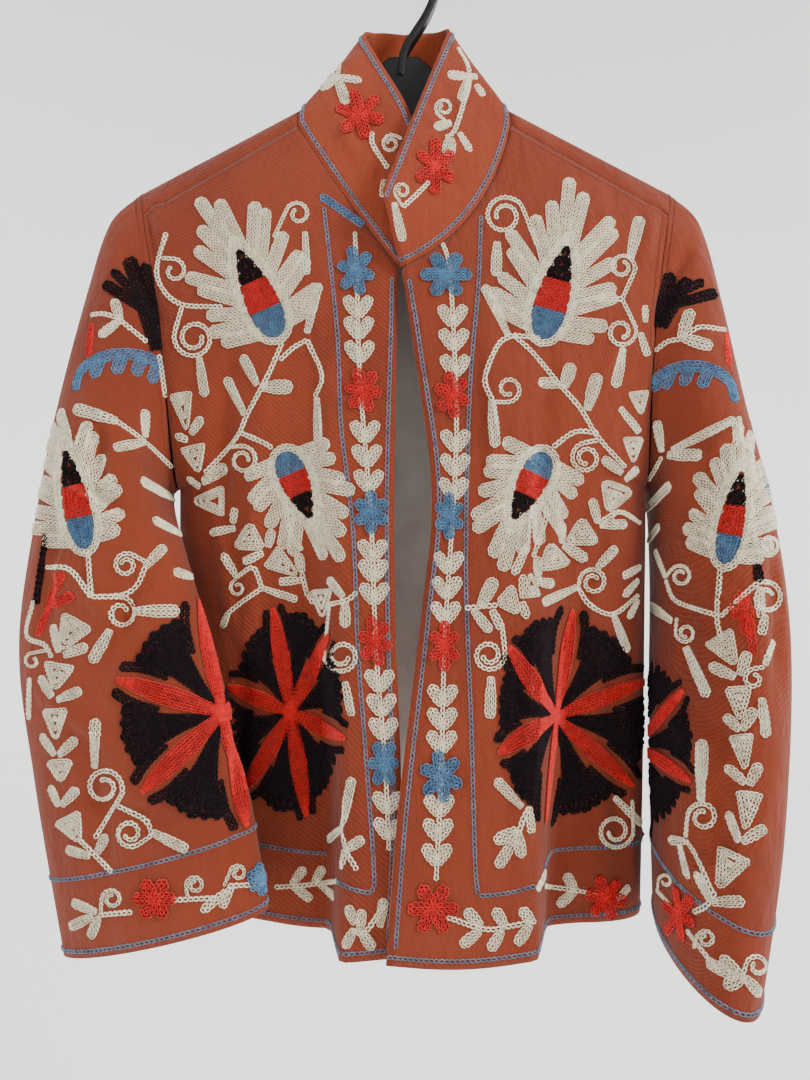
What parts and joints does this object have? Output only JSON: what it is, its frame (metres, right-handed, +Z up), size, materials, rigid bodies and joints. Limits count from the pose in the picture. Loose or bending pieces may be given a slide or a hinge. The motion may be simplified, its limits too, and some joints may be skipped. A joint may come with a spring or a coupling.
{
  "type": "suzani jacket on a clothes hanger",
  "caption": "Open-front jacket of rust cotton twill with a tall stand collar, long sleeves and chain-stitch flowers, hung on a black plastic hanger.",
  "frame": {"origin": "inside top of the hanger's hook, where it rests on what holds it", "axes": "+Z up, +X to the viewer's right seen from the jacket's front, +Y towards its back"},
  "size_m": [0.5696, 0.1894, 0.8042],
  "materials": {
    "twill": "matt rust cotton twill",
    "facing": "matt orange cotton",
    "lining": "matt pale cotton",
    "hanger": "moulded black plastic",
    "yarn_cream": "cream wool and cotton yarn",
    "yarn_red": "red yarn",
    "yarn_blue": "mixed blue yarn",
    "yarn_black": "aubergine black yarn",
    "yarn_grey": "grey blue yarn"
  },
  "bodies": {
    "root": {"back": "twill", "front_left": "twill", "front_right": "twill", "sleeve_left": "twill", "sleeve_right": "twill", "collar": "twill", "facing_left": "facing", "facing_right": "facing", "lining_back": "lining", "hanger": "hanger"}
  },
  "joints": []
}
